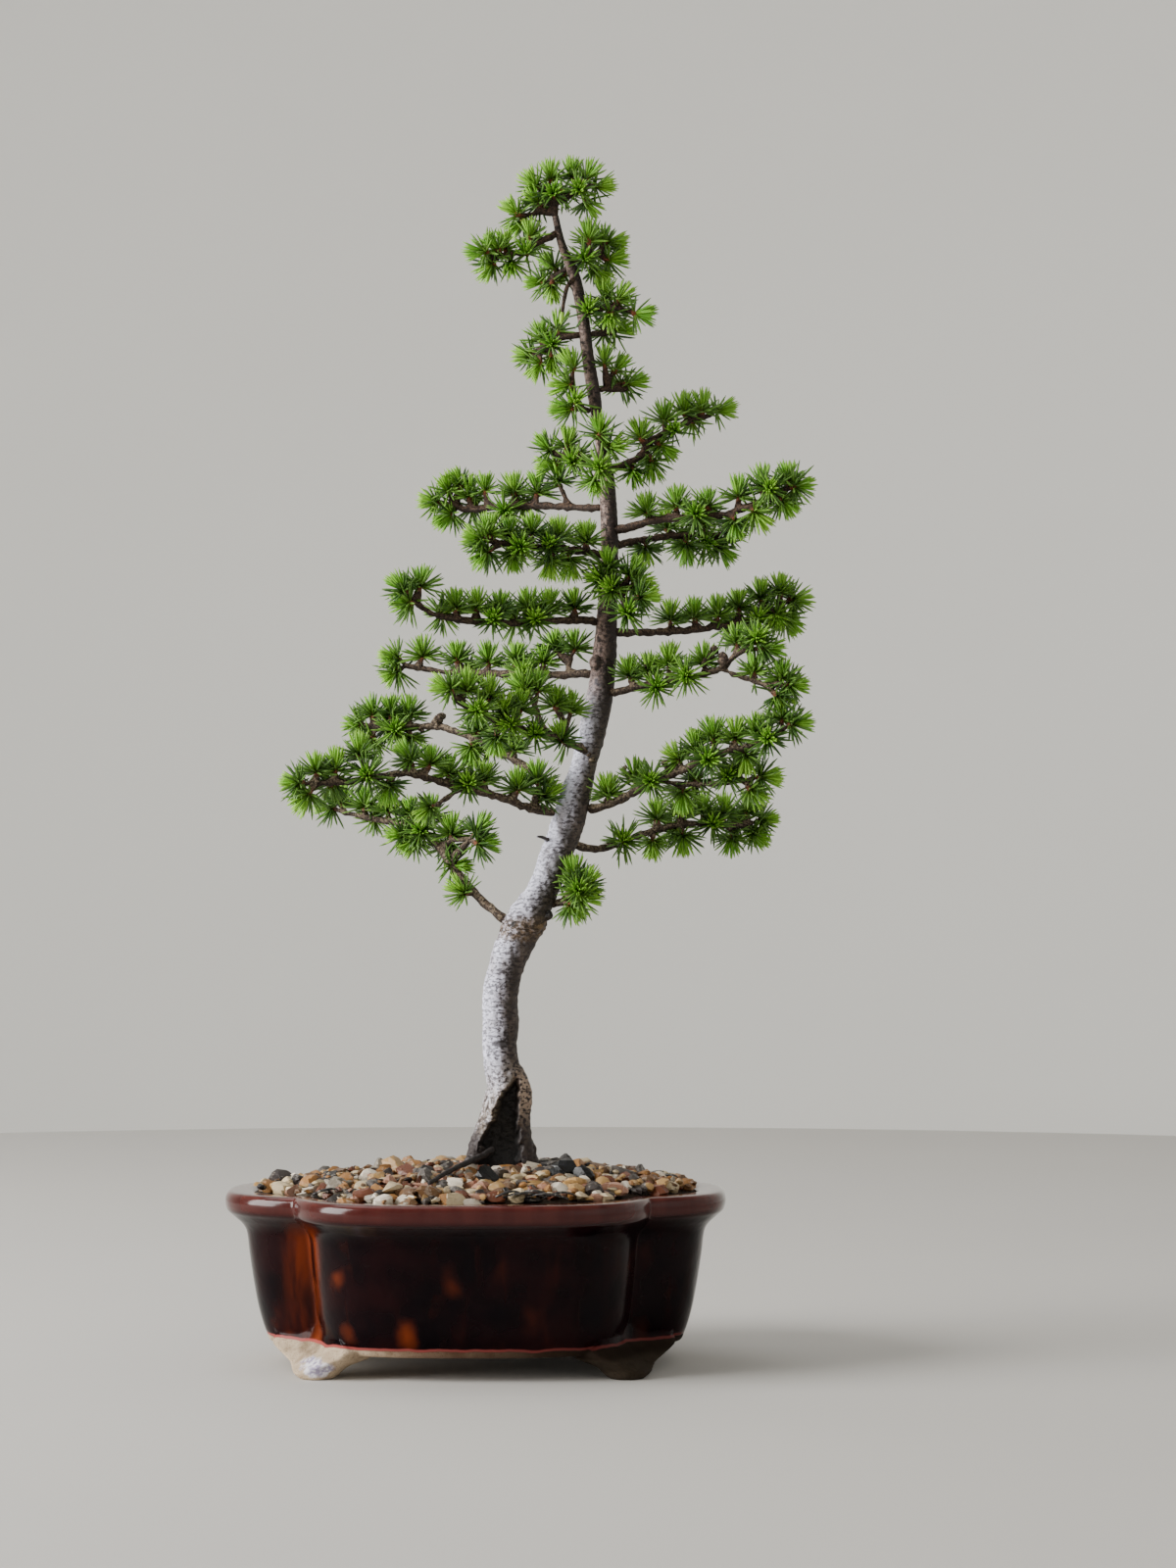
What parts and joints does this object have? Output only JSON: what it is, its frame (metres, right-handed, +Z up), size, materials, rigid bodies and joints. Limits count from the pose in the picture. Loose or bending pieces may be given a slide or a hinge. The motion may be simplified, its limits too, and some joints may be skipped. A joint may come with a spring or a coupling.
{
  "type": "bonsai tree in a pot",
  "caption": "Young needle-leaved bonsai trained upright, with layered side branches, in gravel in a dark glazed lobed pot on low feet.",
  "frame": {"origin": "on the surface the feet stand on, under the middle of the whole object's box", "axes": "+Z up, +X to the right of the front view along the pot's length, -Y towards the viewer"},
  "size_m": [0.3006, 0.2, 0.6158],
  "materials": {
    "glaze": "glossy dark oxblood glaze with amber breaks over a bare stoneware foot",
    "mesh": "matte black net",
    "soil": "damp granular soil",
    "gravel": "mixed washed pebbles",
    "bark": "smooth silver-grey young bark with dark flecks",
    "foliage": "soft green needles on dark brown twigs"
  },
  "bodies": {
    "root": {"pot": "glaze", "drain_mesh_left": "mesh", "drain_mesh_right": "mesh", "soil": "soil", "gravel": "gravel", "trunk": "bark", "crown": "foliage", "branch_top_left": "foliage", "branch_top_right": "foliage", "branch_top_rear": "foliage", "branch_high_right": "foliage", "branch_high_left": "foliage", "branch_high_right_low": "foliage", "branch_upper_right": "foliage", "branch_upper_left": "foliage", "branch_front_high": "foliage", "branch_left_spur": "foliage", "branch_right_1": "foliage", "branch_right_2": "foliage", "branch_right_3": "foliage", "branch_left_1": "foliage", "branch_left_2": "foliage", "branch_front_middle": "foliage", "branch_left_3": "foliage", "branch_right_4": "foliage", "branch_left_4": "foliage", "branch_right_5": "foliage", "branch_front_left": "foliage", "branch_left_6": "foliage", "branch_left_7": "foliage", "branch_low_left": "foliage", "branch_right_6": "foliage", "branch_right_7": "foliage", "branch_low_right": "foliage"}
  },
  "joints": []
}
